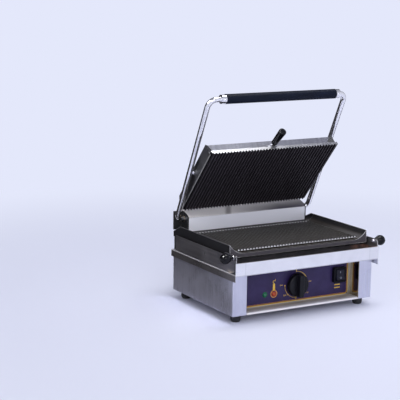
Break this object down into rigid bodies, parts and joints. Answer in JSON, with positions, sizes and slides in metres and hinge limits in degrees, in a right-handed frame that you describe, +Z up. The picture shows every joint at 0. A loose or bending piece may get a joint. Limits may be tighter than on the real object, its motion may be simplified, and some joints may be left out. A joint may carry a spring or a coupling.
{
  "type": "contact grill",
  "caption": "Electric contact grill with a ribbed cast-iron plate, a ribbed upper plate on a counterbalanced handle frame, and a drip tray that slides out.",
  "frame": {"origin": "centre of the footprint's bounding box, on the surface that the feet stand on", "axes": "+X to the right as seen by the user, +Y towards the back, +Z up; the control panel faces -Y"},
  "size_m": [0.494, 0.34, 0.5521],
  "materials": {
    "body_steel": "brushed, long grain",
    "cover_steel": "brushed, grain along the width",
    "dark_steel": "brushed, grain front to back, heat darkened",
    "inner_steel": "plain mill finish",
    "panel_print": "dark violet print with thin gold lines",
    "foot_rubber": "matt",
    "fasteners": "zinc plated",
    "lamp_green": "clear tinted lens",
    "lamp_orange": "clear tinted lens",
    "knob_plastic": "satin black",
    "switch_plastic": "fine texture",
    "terminal_plastic": "ceramic white",
    "black_paint": "matt heat-proof black",
    "plate_iron": "cast skin on the sides, machined ribs with a film of oil",
    "element_sheath": "oxidised",
    "bush_brass": "plain",
    "spring_steel": "bright wire",
    "chrome_plate": "mirror",
    "grip_rubber": "satin black sleeve"
  },
  "bodies": {
    "base": {"base_plate": "body_steel", "side_panel_left": "body_steel", "side_panel_right": "body_steel", "back_panel": "body_steel", "deck": "body_steel", "control_panel": "panel_print", "feet": "foot_rubber", "foot_screws": "fasteners", "pilot_lamp_green": "lamp_green", "pilot_lamp_orange": "lamp_orange", "thermostat_body": "inner_steel", "switch_housing": "switch_plastic", "terminal_block": "terminal_plastic", "cable_gland": "knob_plastic", "rear_riser": "black_paint", "casting_spacers": "inner_steel", "heat_shield": "inner_steel", "wire_conduit": "inner_steel", "lower_plate": "plate_iron", "lower_element": "element_sheath", "lower_press_plate": "inner_steel", "lower_press_studs": "fasteners", "hinge_cheek_left": "black_paint", "hinge_cheek_right": "black_paint", "hinge_bushes": "bush_brass", "hinge_cover": "body_steel", "hinge_front_plate": "body_steel", "spring_anchor": "inner_steel", "torsion_spring_left": "spring_steel", "torsion_spring_right": "spring_steel"},
    "dial": {"dial_shaft": "fasteners", "thermostat_knob": "knob_plastic"},
    "power_rocker": {"rocker": "switch_plastic"},
    "tray": {"drip_tray": "body_steel", "tray_wing_left": "dark_steel", "tray_wing_right": "dark_steel", "tray_knob_left": "knob_plastic", "tray_knob_right": "knob_plastic", "tray_knob_necks": "chrome_plate"},
    "handle": {"handle_frame": "chrome_plate", "hinge_shaft": "inner_steel", "grip_sleeve": "grip_rubber", "grip_collars": "chrome_plate", "plate_pivot_pins": "chrome_plate"},
    "top_plate": {"upper_plate": "plate_iron", "upper_cover": "cover_steel", "pivot_brackets": "inner_steel", "upper_element": "element_sheath", "upper_press_plate": "inner_steel", "upper_press_studs": "fasteners", "cover_screws": "fasteners", "aux_handle_ferrule": "chrome_plate", "aux_handle_grip": "knob_plastic"}
  },
  "joints": [
    {"name": "arm_lift", "type": "hinge", "parent": "base", "child": "handle", "pos_m": [0, 0.1455, 0.2098], "axis": [-1, 0, 0], "range_deg": [-63.1, 0], "stiffness_Nm_per_rad": 3, "springref_deg": 133.5},
    {"name": "plate_tilt", "type": "hinge", "parent": "handle", "child": "top_plate", "pos_m": [0, 0.08045, 0.34318], "axis": [-1, 0, 0], "range_deg": [0, 14.3]},
    {"name": "tray_slide", "type": "slide", "parent": "base", "child": "tray", "axis": [0, -1, 0], "range_m": [0, 0.31]},
    {"name": "thermostat_turn", "type": "hinge", "parent": "base", "child": "dial", "pos_m": [0, -0.113, 0.07], "axis": [0, 1, 0], "range_deg": [0, 270]},
    {"name": "rocker_tilt", "type": "hinge", "parent": "base", "child": "power_rocker", "pos_m": [0.1305, -0.117, 0.0815], "axis": [1, 0, 0], "range_deg": [0, 16]}
  ],
  "couplings": [
    {"joint": "plate_tilt", "follows": "arm_lift", "ratio": -0.22662}
  ]
}
